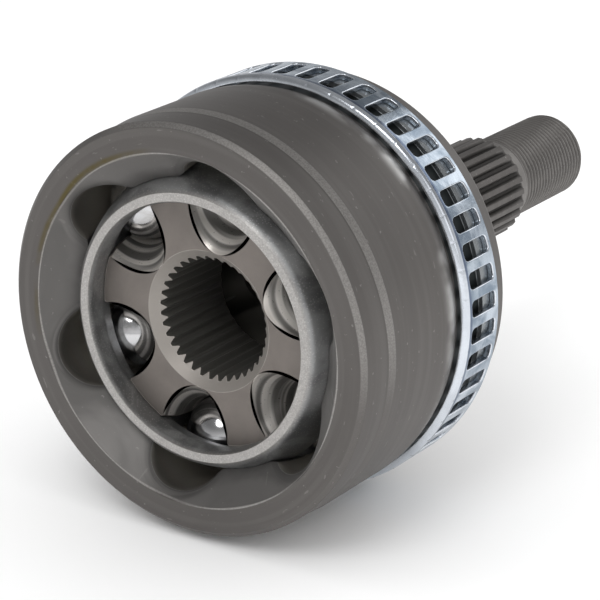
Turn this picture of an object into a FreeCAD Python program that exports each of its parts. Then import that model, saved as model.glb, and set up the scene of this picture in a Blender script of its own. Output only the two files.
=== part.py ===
import FreeCAD, Part
import math
import os
import Sketcher

# Fixed ball joint from the wheel end of a drive shaft, built as it comes apart on a bench:
# a forged bell with its splined and threaded stub, a pressed tone ring with windows, a cage,
# an inner race and six balls. Millimetres. The origin is the joint centre, the point about
# which the race, the cage and the balls tilt. +Y runs along the axis towards the stub, and
# the mouth of the bell looks along -Y. X is the tilt axis and +Z is up.

SIZES = [
    # balls and their tracks
    ("ball_radius", 9.128, "steel ball, 23/32 inch across"),
    ("ball_count", 6, "balls, tracks and cage windows"),
    ("ball_clocking", 21.4, "angle of the first ball from +X towards +Z, degrees"),
    ("pitch_radius", 33.0, "ball centre to joint axis, joint straight"),
    ("track_offset", 4.2, "joint centre to the centre that each set of tracks is curved about"),
    ("track_clearance", 0.17, "track radius less ball radius"),
    ("track_sweep", 104.0, "arc that each outer track is cut along, degrees"),
    ("race_sweep", 100.0, "arc that each inner track is cut along, degrees"),
    # spherical seats
    ("cage_sphere", 37.2, "outer sphere of the cage"),
    ("cage_wall", 4.9, "outer sphere less inner sphere of the cage"),
    ("sphere_gap", 0.1, "play between race, cage and bell"),
    # cage
    ("cage_half_width", 19.2, "joint centre to each face of the cage"),
    ("cage_lip_radius", 29.0, "bore of the cage lips"),
    ("window_gap", 0.4, "ball to each long side of its window"),
    ("window_play", 1.9, "ball to each short end of its window"),
    ("window_corner", 3.0, "corner radius of a window"),
    # inner race
    ("race_half_width", 13.0, "joint centre to each face of the race"),
    ("race_teeth", 36, "internal spline teeth"),
    ("race_root_radius", 14.7, "bottom of the internal spline gaps"),
    ("race_tooth_height", 1.05, "height of an internal spline tooth"),
    ("race_countersink", 1.9, "depth that the mouth-side countersink runs past the gap bottoms"),
    ("race_rear_chamfer", 0.8, "chamfer at the rear end of the internal spline"),
    # bell, mouth end
    ("mouth_depth", 22.5, "joint centre to the face of the mouth"),
    ("mouth_radius", 41.0, "inner edge of the face of the mouth"),
    ("flare_depth", 15.2, "joint centre to the edge where the flare meets the spherical bore"),
    ("rim_chamfer", 1.2, "chamfer round the mouth"),
    ("land_radius", 48.05, "boot land"),
    ("land_length", 7.8, "boot land, from the chamfer to the foot of the step"),
    ("step_length", 2.7, "shallow cone from the boot land up to the body"),
    # bell, body
    ("body_radius", 48.5, "cylinder of the body"),
    ("body_length", 21.1, "cylinder of the body, from the step to its rounded end"),
    ("shoulder_length", 5.5, "rounded end of the body in front of the tone ring"),
    ("shoulder_drop", 1.2, "fall of the radius over the rounded end"),
    ("floor_depth", 31.5, "joint centre to the flat floor of the cavity"),
    # seat of the tone ring
    ("relief_depth", 1.2, "seat radius less the radius of the relief behind the windows"),
    ("relief_length", 10.2, "relief behind the windows"),
    ("seat_radius", 48.2, "land that the tone ring is pressed on"),
    ("seat_length", 5.5, "land that the tone ring is pressed on"),
    # rear of the bell
    ("rear_taper", 1.1, "fall of the radius from the seat to the rear edge"),
    ("rear_edge_length", 4.4, "seat to the start of the rear rounding"),
    ("rear_round", 3.0, "radius of the rear rounding"),
    ("back_length", 18.0, "dished back, from the rear rounding to the hub boss"),
    ("hub_radius", 20.0, "boss that the wheel bearing rests against"),
    ("hub_length", 1.9, "length of the boss"),
    # stub
    ("stub_plain_length", 6.0, "plain stub between the boss and the spline"),
    ("stub_teeth", 25, "external spline teeth"),
    ("stub_clocking", 12.6, "angle of the first gap from +X towards +Z, degrees"),
    ("stub_tip_radius", 13.15, "tips of the external spline"),
    ("stub_tooth_depth", 1.1, "depth of an external spline gap"),
    ("spline_length", 42.2, "external spline"),
    ("spline_chamfer", 1.0, "chamfer at the end of the external spline"),
    ("thread_radius", 10.95, "outside of the M22 thread"),
    ("thread_length", 34.8, "threaded end"),
    ("thread_chamfer", 1.3, "chamfer at the end of the thread"),
    ("centre_radius", 3.0, "mouth of the 60 degree centre hole"),
    # tone ring
    ("ring_wall", 1.6, "sheet of the tone ring"),
    ("ring_front_gap", 0.6, "shoulder of the body to the front edge of the ring"),
    ("ring_length", 13.6, "tone ring along the axis"),
    ("ring_windows", 48, "windows of the tone ring"),
    ("ring_clocking", 3.75, "angle of the first window from +Z towards +X, degrees"),
    ("ring_window_width", 3.9, "window round the ring"),
    ("ring_window_length", 10.0, "window along the axis"),
    ("ring_window_corner", 1.2, "corner radius of a window"),
    ("ring_rear_strip", 1.1, "sheet left behind the windows"),
]


class Size:
    """A length or angle: the number it has now, and the expression that ties it to the sheet."""

    def __init__(self, number, text):
        self.number = number
        self.text = text

    @classmethod
    def read(cls, other):
        if isinstance(other, Size):
            return other
        return cls(float(other), repr(float(other)))

    def join(self, sign, other, number):
        return Size(number, f"({self.text} {sign} {Size.read(other).text})")

    def __add__(self, other):
        return self.join("+", other, self.number + Size.read(other).number)

    def __sub__(self, other):
        return self.join("-", other, self.number - Size.read(other).number)

    def __mul__(self, other):
        return self.join("*", other, self.number * Size.read(other).number)

    def __truediv__(self, other):
        return self.join("/", other, self.number / Size.read(other).number)

    def __neg__(self):
        return Size(-self.number, f"(-1 * {self.text})")

    def __rsub__(self, other):
        return Size.read(other) - self

    def __rtruediv__(self, other):
        return Size.read(other) / self


def root(area):
    return Size(math.sqrt(area.number), f"sqrt({area.text})")


def cosine(angle):
    return Size(math.cos(math.radians(angle.number)), f"cos({angle.text})")


def sine(angle):
    return Size(math.sin(math.radians(angle.number)), f"sin({angle.text})")


def bind(thing, prop, size):
    """Sets a property and ties it to the sheet."""
    thing.setExpression(prop, size.text)


doc = FreeCAD.newDocument("fixed_ball_joint")
sheet = doc.addObject("Spreadsheet::Sheet", "Sizes")
size = {}
for row, (alias, number, meaning) in enumerate(SIZES, start=1):
    sheet.set(f"A{row}", alias)
    sheet.set(f"B{row}", str(number))
    sheet.set(f"C{row}", meaning)
    sheet.setAlias(f"B{row}", alias)
    size[alias] = Size(float(number), f"Sizes.{alias}")
doc.recompute()

ZERO = Size(0.0, "0")

# radii and places that several pieces share
track_radius = size["ball_radius"] + size["track_clearance"]
path_radius = root(size["pitch_radius"] * size["pitch_radius"] + size["track_offset"] * size["track_offset"])
bell_sphere = size["cage_sphere"] + size["sphere_gap"]
cage_bore = size["cage_sphere"] - size["cage_wall"]
race_sphere = cage_bore - size["sphere_gap"]


def sphere_at(radius, depth):
    """Distance from the axis of a sphere about the joint centre, at a depth along the axis."""
    return root(radius * radius - depth * depth)


class Arc:
    """An edge that bends to the next corner about a centre, against the clock where turn is 1."""

    def __init__(self, centre_x, centre_y, turn):
        self.centre = (centre_x, centre_y)
        self.turn = turn


LINE = None


def origin_plane(body, role):
    return next(plane for plane in body.Origin.OriginFeatures if plane.Role == role)


def new_body(name):
    body = doc.addObject("PartDesign::Body", name)
    body.Label = name
    return body


def new_sketch(body, name, role, shift=ZERO, turn=ZERO):
    """Adds a sketch on an origin plane, turned about its own Y and moved along its normal."""
    sketch = body.newObject("Sketcher::SketchObject", name)
    sketch.AttachmentSupport = (origin_plane(body, role), [""])
    sketch.MapMode = "FlatFace"
    turned = FreeCAD.Rotation(FreeCAD.Vector(0, 1, 0), turn.number)
    sketch.AttachmentOffset = FreeCAD.Placement(FreeCAD.Vector(0, 0, 0), turned)
    bind(sketch, "AttachmentOffset.Rotation.Angle", turn)
    bind(sketch, "AttachmentOffset.Base.x", shift * sine(turn))
    bind(sketch, "AttachmentOffset.Base.z", shift * cosine(turn))
    return sketch


def pin_point(sketch, geometry, place, x, y):
    """Ties one point of a sketch to a distance from each of the sketch's axes."""
    axes = (("DistanceX", x, -2), ("DistanceY", y, -1))
    for kind, distance, axis in axes:
        if distance is ZERO:
            sketch.addConstraint(Sketcher.Constraint("PointOnObject", geometry, place, axis))
        else:
            number = sketch.addConstraint(Sketcher.Constraint(kind, geometry, place, distance.number))
            sketch.setExpression(f"Constraints[{number}]", distance.text)


def draw_outline(sketch, corners):
    """Draws a closed outline. Each corner is x, y and the edge to the next corner."""
    ends = []
    up = FreeCAD.Vector(0, 0, 1)
    points = [FreeCAD.Vector(x.number, y.number, 0) for x, y, edge in corners]
    for index, (x, y, edge) in enumerate(corners):
        start = points[index]
        stop = points[(index + 1) % len(points)]
        if edge is LINE:
            number = sketch.addGeometry(Part.LineSegment(start, stop), False)
            ends.append((number, 1, 2))
            continue
        centre = FreeCAD.Vector(edge.centre[0].number, edge.centre[1].number, 0)
        circle = Part.Circle(centre, up, (start - centre).Length)
        first = math.atan2(start.y - centre.y, start.x - centre.x)
        last = math.atan2(stop.y - centre.y, stop.x - centre.x)
        if edge.turn > 0:
            number = sketch.addGeometry(Part.ArcOfCircle(circle, first, last), False)
            ends.append((number, 1, 2))
        else:
            number = sketch.addGeometry(Part.ArcOfCircle(circle, last, first), False)
            ends.append((number, 2, 1))
    for index, (number, first, last) in enumerate(ends):
        following, start, _ = ends[(index + 1) % len(ends)]
        sketch.addConstraint(Sketcher.Constraint("Coincident", number, last, following, start))
        x, y, edge = corners[index]
        pin_point(sketch, number, first, x, y)
        if edge is not LINE:
            chord = points[(index + 1) % len(points)] - points[index]
            pin_centre(sketch, number, edge, chord)


def pin_centre(sketch, number, edge, chord):
    """Ties the centre of an arc, which is its point 3, along the axis that its ends leave free."""
    along_x = abs(chord.y) >= abs(chord.x)
    kind = "DistanceX" if along_x else "DistanceY"
    distance = edge.centre[0] if along_x else edge.centre[1]
    if distance is ZERO:
        axis = -2 if along_x else -1
        sketch.addConstraint(Sketcher.Constraint("PointOnObject", number, 3, axis))
    else:
        tied = sketch.addConstraint(Sketcher.Constraint(kind, number, 3, distance.number))
        sketch.setExpression(f"Constraints[{tied}]", distance.text)


def revolve(body, name, corners):
    """Turns an outline, drawn as radius and depth, all the way round the joint axis."""
    sketch = new_sketch(body, name + "_outline", "XY_Plane")
    draw_outline(sketch, corners)
    solid = body.newObject("PartDesign::Revolution", name)
    solid.Profile = sketch
    solid.ReferenceAxis = (sketch, ["V_Axis"])
    solid.Angle = 360
    doc.recompute()
    return solid


def ring_of(body, name, feature, count):
    """Repeats a cut round the joint axis."""
    pattern = body.newObject("PartDesign::PolarPattern", name)
    pattern.Originals = [feature]
    pattern.Axis = (origin_plane(body, "Y_Axis"), [""])
    pattern.Angle = 360
    bind(pattern, "Occurrences", count)
    body.Tip = pattern
    doc.recompute()
    return pattern


def turned(radius, side, clocking):
    """Sketch position of a point at a radius and a distance to the side of a clocked radial line."""
    x = radius * cosine(clocking) - side * sine(clocking)
    y = radius * sine(clocking) + side * cosine(clocking)
    return x, y


def cut_tracks(body, centre_depth, sweep, outwards):
    """Cuts the ball tracks: a U-shaped section swept about a centre on the joint axis.

    The round end of the section points away from the joint axis in the bell and towards it in
    the race. Its straight sides only pass through the open space on the other side of the balls.
    """
    clocking = size["ball_clocking"]
    sketch = new_sketch(body, body.Name + "_track_section", "XZ_Plane", shift=-centre_depth)
    centre = turned(path_radius, ZERO, clocking)
    low, high = (-track_radius, track_radius) if outwards else (track_radius, -track_radius)
    open_end = path_radius - track_radius if outwards else path_radius + track_radius
    corners = [
        turned(path_radius, low, clocking) + (Arc(centre[0], centre[1], 1),),
        turned(path_radius, high, clocking) + (LINE,),
        turned(open_end, high, clocking) + (LINE,),
        turned(open_end, low, clocking) + (LINE,),
    ]
    draw_outline(sketch, corners)
    tip = turned(ZERO, size["pitch_radius"], clocking)
    start = FreeCAD.Vector(0, 0, 0)
    axis = sketch.addGeometry(Part.LineSegment(start, FreeCAD.Vector(tip[0].number, tip[1].number, 0)), True)
    pin_point(sketch, axis, 1, ZERO, ZERO)
    pin_point(sketch, axis, 2, tip[0], tip[1])
    groove = body.newObject("PartDesign::Groove", body.Name + "_track")
    groove.Profile = sketch
    groove.ReferenceAxis = (sketch, ["Axis0"])
    groove.Midplane = True
    bind(groove, "Angle", sweep)
    doc.recompute()
    return ring_of(body, body.Name + "_tracks", groove, size["ball_count"])


def cut_gaps(body, name, teeth, far_depth, length, clocking, half_widths, radii):
    """Cuts spline gaps, each a four-sided section from the inner radius out to the outer one."""
    sketch = new_sketch(body, name + "_section", "XZ_Plane", shift=-far_depth)
    inner, outer = radii
    inner_half, outer_half = half_widths
    corners = []
    sides = ((inner, -inner_half), (outer, -outer_half), (outer, outer_half), (inner, inner_half))
    for radius, side in sides:
        corners.append(turned(radius, side, clocking) + (LINE,))
    draw_outline(sketch, corners)
    before = body.Tip.Shape.Volume
    pocket = body.newObject("PartDesign::Pocket", name)
    pocket.Profile = sketch
    pocket.Type = "Length"
    bind(pocket, "Length", length)
    doc.recompute()
    if pocket.Shape.Volume > before - 1.0:
        pocket.Reversed = True
        doc.recompute()
    return ring_of(body, name + "s", pocket, teeth)


def cut_windows(body, name, count, turn, middle, outline, reach):
    """Cuts windows with round corners outwards through a wall, between two distances."""
    width, length, corner = outline
    start, stop = reach
    sketch = new_sketch(body, name + "_outline", "XY_Plane", shift=start, turn=turn)
    half_width = width / 2
    low = middle - length / 2
    high = middle + length / 2
    inner_x = half_width - corner
    inner_low = low + corner
    inner_high = high - corner
    corners = [
        (-inner_x, low, LINE),
        (inner_x, low, Arc(inner_x, inner_low, 1)),
        (half_width, inner_low, LINE),
        (half_width, inner_high, Arc(inner_x, inner_high, 1)),
        (inner_x, high, LINE),
        (-inner_x, high, Arc(-inner_x, inner_high, 1)),
        (-half_width, inner_high, LINE),
        (-half_width, inner_low, Arc(-inner_x, inner_low, 1)),
    ]
    draw_outline(sketch, corners)
    pocket = body.newObject("PartDesign::Pocket", name)
    pocket.Profile = sketch
    pocket.Type = "Length"
    pocket.Reversed = True
    bind(pocket, "Length", stop - start)
    doc.recompute()
    return ring_of(body, name + "s", pocket, count)


def build_bell():
    """The bell and its stub, one forging: cavity, boot land, body, ring seat, back and stub."""
    body = new_body("bell_housing")
    floor = size["floor_depth"]
    floor_radius = sphere_at(bell_sphere, floor)
    edge = -size["flare_depth"]
    mouth = -size["mouth_depth"]
    rim = mouth + size["rim_chamfer"]
    land = rim + size["land_length"]
    step = land + size["step_length"]
    body_end = step + size["body_length"]
    relief = body_end + size["shoulder_length"]
    seat = relief + size["relief_length"]
    seat_end = seat + size["seat_length"]
    rear = seat_end + size["rear_edge_length"]
    rear_radius = size["seat_radius"] - size["rear_taper"]
    back = rear + size["rear_round"]
    boss = back + size["back_length"]
    face = boss + size["hub_length"]
    tip = size["stub_tip_radius"]
    spline_end = face + size["stub_plain_length"] + size["spline_length"]
    thread = size["thread_radius"]
    stub_end = spline_end + size["thread_length"]
    shoulder_radius = size["body_radius"] - size["shoulder_drop"]
    relief_radius = size["seat_radius"] - size["relief_depth"]
    # a shallow arc that leaves the body cylinder smoothly: its centre lies level with its start
    fall = size["shoulder_drop"]
    run = size["shoulder_length"]
    bend = (run * run + fall * fall) / (fall * 2)
    centre_depth = size["centre_radius"] * math.sqrt(3)
    corners = [
        (ZERO, floor, LINE),
        (floor_radius, floor, Arc(ZERO, ZERO, -1)),
        (sphere_at(bell_sphere, edge), edge, LINE),
        (size["mouth_radius"], mouth, LINE),
        (size["land_radius"] - size["rim_chamfer"], mouth, LINE),
        (size["land_radius"], rim, LINE),
        (size["land_radius"], land, LINE),
        (size["body_radius"], step, LINE),
        (size["body_radius"], body_end, Arc(size["body_radius"] - bend, body_end, 1)),
        (shoulder_radius, relief, LINE),
        (relief_radius, relief, LINE),
        (relief_radius, seat, LINE),
        (size["seat_radius"], seat, LINE),
        (size["seat_radius"], seat_end, LINE),
        (rear_radius, rear, Arc(rear_radius - size["rear_round"], rear, 1)),
        (rear_radius - size["rear_round"], back, LINE),
        (size["hub_radius"], boss, LINE),
        (size["hub_radius"], face, LINE),
        (tip, face, LINE),
        (tip, spline_end - size["spline_chamfer"], LINE),
        (tip - size["spline_chamfer"], spline_end, LINE),
        (thread, spline_end, LINE),
        (thread, stub_end - size["thread_chamfer"], LINE),
        (thread - size["thread_chamfer"], stub_end, LINE),
        (size["centre_radius"], stub_end, LINE),
        (ZERO, stub_end - centre_depth, LINE),
    ]
    revolve(body, "forging", corners)
    teeth = size["stub_teeth"]
    root_radius = tip - size["stub_tooth_depth"]
    pitch = tip * (2 * math.pi) / teeth
    above = size["stub_tooth_depth"]
    half_widths = (pitch * 0.13, pitch * 0.45)
    cut_gaps(body, "stub_gap", teeth, spline_end, size["spline_length"], size["stub_clocking"],
             half_widths, (root_radius, tip + above))
    cut_tracks(body, -size["track_offset"], size["track_sweep"], outwards=True)
    return body


def build_ring():
    """The tone ring: pressed sheet with a rounded front edge and a row of windows."""
    body = new_body("tone_ring")
    inner = size["seat_radius"]
    outer = inner + size["ring_wall"]
    land_end = size["rim_chamfer"] + size["land_length"]
    body_end = land_end + size["step_length"] + size["body_length"] - size["mouth_depth"]
    front = body_end + size["shoulder_length"] + size["ring_front_gap"]
    rear = front + size["ring_length"]
    bend = size["ring_wall"] * 0.9
    corners = [
        (inner, front, LINE),
        (outer - bend, front, Arc(outer - bend, front + bend, 1)),
        (outer, front + bend, LINE),
        (outer, rear, LINE),
        (inner, rear, LINE),
    ]
    revolve(body, "band", corners)
    middle = rear - size["ring_rear_strip"] - size["ring_window_length"] / 2
    outline = (size["ring_window_width"], size["ring_window_length"], size["ring_window_corner"])
    reach = (inner - size["ring_wall"], outer + size["ring_wall"])
    cut_windows(body, "ring_window", size["ring_windows"], size["ring_clocking"], middle, outline, reach)
    return body


def build_cage():
    """The cage: a ring between two spheres, with a straight lip each side and a window a ball."""
    body = new_body("ball_cage")
    outer = size["cage_sphere"]
    half = size["cage_half_width"]
    lip = size["cage_lip_radius"]
    lip_depth = sphere_at(cage_bore, lip)
    corners = [
        (lip, -half, LINE),
        (sphere_at(outer, half), -half, Arc(ZERO, ZERO, 1)),
        (sphere_at(outer, half), half, LINE),
        (lip, half, LINE),
        (lip, lip_depth, Arc(ZERO, ZERO, -1)),
        (lip, -lip_depth, LINE),
    ]
    revolve(body, "shell", corners)
    long_side = (size["ball_radius"] + size["window_play"]) * 2
    short_side = (size["ball_radius"] + size["window_gap"]) * 2
    outline = (long_side, short_side, size["window_corner"])
    reach = (lip - size["cage_wall"], outer + size["cage_wall"])
    cut_windows(body, "ball_window", size["ball_count"], 90 - size["ball_clocking"], ZERO, outline, reach)
    return body


def build_race():
    """The inner race: a ball with flat faces, six tracks and a splined bore."""
    body = new_body("inner_race")
    half = size["race_half_width"]
    face_radius = sphere_at(race_sphere, half)
    gap_bottom = size["race_root_radius"]
    tip = gap_bottom - size["race_tooth_height"]
    sink = size["race_countersink"]
    sink_depth = sink + size["race_tooth_height"]
    chamfer = size["race_rear_chamfer"]
    corners = [
        (gap_bottom + sink, -half, LINE),
        (face_radius, -half, Arc(ZERO, ZERO, 1)),
        (face_radius, half, LINE),
        (gap_bottom + chamfer, half, LINE),
        (tip, half - chamfer - size["race_tooth_height"], LINE),
        (tip, sink_depth - half, LINE),
    ]
    revolve(body, "star", corners)
    teeth = size["race_teeth"]
    pitch = gap_bottom * (2 * math.pi) / teeth
    half_widths = (pitch * 0.445, pitch * 0.14)
    clocking = size["ball_clocking"] + Size(180.0, "180") / teeth
    gap_start = tip - size["race_tooth_height"] * 0.1
    cut_gaps(body, "race_gap", teeth, half, half * 2, clocking, half_widths, (gap_start, gap_bottom))
    cut_tracks(body, size["track_offset"], size["race_sweep"], outwards=False)
    return body


def build_ball(index):
    """One ball, in its window and its pair of tracks."""
    ball = doc.addObject("Part::Sphere", f"ball_{index}")
    ball.Label = f"ball_{index}"
    bind(ball, "Radius", size["ball_radius"])
    azimuth = size["ball_clocking"] + 360.0 * (index - 1) / size["ball_count"]
    bind(ball, "Placement.Base.x", size["pitch_radius"] * cosine(azimuth))
    bind(ball, "Placement.Base.z", size["pitch_radius"] * sine(azimuth))
    return ball


def build():
    pieces = [build_bell(), build_ring(), build_cage(), build_race()]
    for index in range(1, int(size["ball_count"].number) + 1):
        pieces.append(build_ball(index))
    doc.recompute()
    return pieces


def check(pieces):
    """Stops the build on a failed object, or on a piece that is not one sound solid."""
    for thing in doc.Objects:
        if "Invalid" in thing.State or "Error" in thing.State:
            raise RuntimeError(f"{thing.Label} failed: {thing.State}")
    for piece in pieces:
        shape = piece.Shape
        if shape.isNull() or not shape.isValid() or len(shape.Solids) != 1:
            raise RuntimeError(f"{piece.Label} is not one valid solid")


def write(pieces):
    os.makedirs("parts", exist_ok=True)
    for piece in pieces:
        piece.Shape.exportStep(os.path.join("parts", piece.Label + ".step"))
        print(piece.Label, "volume", round(piece.Shape.Volume, 1))


pieces = build()
check(pieces)
write(pieces)
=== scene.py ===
"""Looks of a fixed ball joint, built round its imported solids.

Metres throughout. +Y runs along the joint axis towards the threaded stub, the open mouth of the
bell looks along -Y and +Z is up. The origin is the joint centre.
"""

import logging
import math
from dataclasses import dataclass, field
from enum import Enum
from functools import cached_property
from typing import Callable, Sequence

import bmesh
import bpy
import numpy as np
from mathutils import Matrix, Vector

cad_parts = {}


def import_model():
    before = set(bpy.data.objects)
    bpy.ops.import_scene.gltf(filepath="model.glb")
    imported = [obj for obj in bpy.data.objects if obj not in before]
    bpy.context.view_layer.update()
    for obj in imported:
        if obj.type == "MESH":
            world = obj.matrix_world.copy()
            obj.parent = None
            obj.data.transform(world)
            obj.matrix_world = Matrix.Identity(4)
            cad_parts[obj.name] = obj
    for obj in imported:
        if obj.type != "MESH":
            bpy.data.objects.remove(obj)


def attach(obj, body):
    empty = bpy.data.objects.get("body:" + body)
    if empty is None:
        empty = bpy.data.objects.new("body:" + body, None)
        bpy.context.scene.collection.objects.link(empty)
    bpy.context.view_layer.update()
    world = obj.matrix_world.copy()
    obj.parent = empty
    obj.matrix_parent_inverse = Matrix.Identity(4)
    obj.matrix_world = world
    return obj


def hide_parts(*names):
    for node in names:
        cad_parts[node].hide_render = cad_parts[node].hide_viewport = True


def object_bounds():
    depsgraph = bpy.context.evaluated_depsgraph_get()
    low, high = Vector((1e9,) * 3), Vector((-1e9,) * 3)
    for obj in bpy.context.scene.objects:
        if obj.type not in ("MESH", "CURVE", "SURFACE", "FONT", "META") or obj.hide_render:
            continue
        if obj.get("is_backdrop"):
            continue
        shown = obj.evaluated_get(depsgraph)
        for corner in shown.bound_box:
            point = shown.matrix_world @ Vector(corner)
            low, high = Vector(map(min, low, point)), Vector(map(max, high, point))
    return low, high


LOG = logging.getLogger("ball_joint")
MM = 0.001
TAU = 2.0 * math.pi
Colour = tuple[float, float, float]
Span = tuple[float, float]
Socket = bpy.types.NodeSocket
Thing = bpy.types.Object


# --------------------------------------------------------------------------- meshes

def quad_grid(rows: int, columns: int) -> np.ndarray:
    """Corner numbers of the quads of a grid whose rows are closed rings.

    Args:
        rows: Number of rows of points.
        columns: Number of points in a row.

    Returns:
        One line of four corner numbers for each quad.
    """
    row = np.arange(rows - 1)[:, None]
    column = np.arange(columns)[None, :]
    following = (column + 1) % columns
    corners = [row * columns + column, row * columns + following,
               (row + 1) * columns + following, (row + 1) * columns + column]
    return np.stack(np.broadcast_arrays(*corners), axis=-1).reshape(-1, 4)


def signed_volume(points: np.ndarray, quads: np.ndarray) -> float:
    """Six times the volume inside a closed set of quads, below zero where they face inwards."""
    a, b, c, d = (points[quads[:, k]] for k in range(4))
    first = np.einsum("ij,ij->i", a, np.cross(b, c))
    second = np.einsum("ij,ij->i", a, np.cross(c, d))
    return float((first + second).sum())


def link(name: str, data: bpy.types.ID) -> Thing:
    """Puts a mesh, lamp or camera into the scene as an object."""
    thing = bpy.data.objects.new(name, data)
    bpy.context.scene.collection.objects.link(thing)
    return thing


def build_mesh(name: str, points: np.ndarray, crease: float, paint: dict[str, np.ndarray] | None = None,
               quads: np.ndarray | None = None) -> Thing:
    """Puts points and quads into a new mesh object, joined at its seams and facing outwards.

    Args:
        name: Name of the object.
        points: Places of the points in millimetres, as a grid of rings or as a list.
        crease: Angle in degrees above which an edge stays sharp.
        paint: Numbers for each point by attribute name, read by the finishes.
        quads: Four corner numbers for each face, needed where the points are a list.

    Returns:
        The new object, at the origin.
    """
    if quads is None:
        quads = quad_grid(*points.shape[:2])
    points = points.reshape(-1, 3)
    if signed_volume(points, quads) < 0.0:
        quads = quads[:, ::-1]
    mesh = bpy.data.meshes.new(name)
    mesh.vertices.add(len(points))
    mesh.vertices.foreach_set("co", (points * MM).astype(np.float32).ravel())
    mesh.loops.add(quads.size)
    mesh.loops.foreach_set("vertex_index", quads.astype(np.int32).ravel())
    mesh.polygons.add(len(quads))
    mesh.polygons.foreach_set("loop_start", np.arange(0, quads.size, 4, dtype=np.int32))
    mesh.update(calc_edges=True)
    for key, numbers in (paint or {}).items():
        layer = mesh.attributes.new(key, "FLOAT", "POINT")
        layer.data.foreach_set("value", numbers.astype(np.float32).ravel())
    joined = bmesh.new()
    joined.from_mesh(mesh)
    bmesh.ops.remove_doubles(joined, verts=joined.verts, dist=2.0e-6)
    bmesh.ops.dissolve_degenerate(joined, edges=joined.edges, dist=1.0e-7)
    joined.to_mesh(mesh)
    joined.free()
    mesh.validate()
    mesh.shade_smooth()
    mesh.set_sharp_from_angle(angle=math.radians(crease))
    return link(name, mesh)


def around(radius: np.ndarray, angle: np.ndarray, depth: np.ndarray) -> np.ndarray:
    """Points from radius, angle (from +X towards +Z) and depth along +Y, in millimetres."""
    radius, angle, depth = np.broadcast_arrays(radius, angle, depth)
    return np.stack([radius * np.cos(angle), depth, radius * np.sin(angle)], axis=-1)


def smooth_min(a: np.ndarray, b: np.ndarray, blend: np.ndarray) -> np.ndarray:
    """Smaller of two distances, rounded over the length of blend where they cross."""
    near = np.clip(blend - np.abs(a - b), 0.0, None) / blend
    return np.minimum(a, b) - near * near * blend * 0.25


def gaps(phase: np.ndarray, flat: float, flank: float) -> np.ndarray:
    """A row of gaps between teeth, one at each whole number of the phase.

    Args:
        phase: Place along the row, in pitches.
        flat: Half the width of a gap's flat floor, in pitches.
        flank: Width of the slope beside it, in pitches.

    Returns:
        1 on the floor of a gap and 0 on the tip of a tooth.
    """
    off = np.abs((phase + 0.5) % 1.0 - 0.5)
    return 1.0 - np.clip((off - flat) / flank, 0.0, 1.0)


def rounded(corners: Sequence[tuple[float, float, float]], steps: int = 4) -> np.ndarray:
    """A profile whose corners are rounded.

    Each corner is replaced by an arc that touches both of its sides; the arc's centre lies on
    the line that halves the corner, and its points are evenly turned about it.

    Args:
        corners: Radius, depth and corner radius of each corner. The ends keep their places.
        steps: Points on each arc less one.

    Returns:
        Radius and depth of each point of the profile.
    """
    place = np.array([corner[:2] for corner in corners], dtype=float)
    out = [place[0][None, :]]
    for before, here, after, corner in zip(place, place[1:], place[2:], corners[1:-1]):
        bend = corner[2]
        if bend <= 0.0:
            out.append(here[None, :])
            continue
        back = (before - here) / np.linalg.norm(before - here)
        ahead = (after - here) / np.linalg.norm(after - here)
        half = 0.5 * math.acos(float(np.clip(back @ ahead, -1.0, 1.0)))
        middle = (back + ahead) / np.linalg.norm(back + ahead)
        centre = here + middle * bend / math.sin(half)
        start = here + back * bend / math.tan(half) - centre
        stop = here + ahead * bend / math.tan(half) - centre
        turn = math.atan2(start[0] * stop[1] - start[1] * stop[0], float(start @ stop))
        angle = np.linspace(0.0, turn, steps + 1)[:, None]
        sideways = np.array([-start[1], start[0]])
        out.append(centre + np.cos(angle) * start + np.sin(angle) * sideways)
    out.append(place[-1][None, :])
    return np.concatenate(out)


# --------------------------------------------------------------------------- sizes

@dataclass(frozen=True)
class Tracks:
    """Sizes that the bell, the race and the balls share, in millimetres and degrees."""

    count: int = 6
    clocking: float = 21.4
    ball_radius: float = 9.128
    pitch_radius: float = 33.0
    offset: float = 4.2
    clearance: float = 0.17

    @property
    def radius(self) -> float:
        """Radius of a track's section."""
        return self.ball_radius + self.clearance

    @property
    def path(self) -> float:
        """Radius of the arc that a track follows."""
        return math.hypot(self.pitch_radius, self.offset)

    def from_tube(self, radius: np.ndarray, angle: np.ndarray, depth: np.ndarray) -> np.ndarray:
        """Distance from a point to the skin of an outer track, below zero inside the track.

        The track is a tube of the section radius, bent about a point on the axis that lies the
        offset in front of the joint centre. The distance is the length of two parts: how far the
        point is from the arc in the track's own plane, and how far it is from that plane.

        Args:
            radius: Distance from the joint axis, millimetres.
            angle: Angle from the middle of the track, radians.
            depth: Depth along the joint axis, millimetres.

        Returns:
            The distance for each point.
        """
        across = np.hypot(radius * np.cos(angle), depth + self.offset) - self.path
        return np.hypot(across, radius * np.sin(angle)) - self.radius

    def mirrored(self, grid: np.ndarray) -> np.ndarray:
        """Repeats the numbers of half a period, forwards and mirrored, for every track."""
        return np.tile(np.concatenate([grid[:, :-1], grid[:, :0:-1]], axis=1), (1, self.count))

    def bearings(self, half: np.ndarray) -> np.ndarray:
        """Angles all the way round, from the angles of half a period in each row."""
        period = np.concatenate([half[:, :-1], 2.0 * half[:, -1:] - half[:, :0:-1]], axis=1)
        turns = (np.arange(self.count) * TAU / self.count)[None, :, None]
        return (period[:, None, :] + turns).reshape(len(half), -1)


# --------------------------------------------------------------------------- finishes

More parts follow.
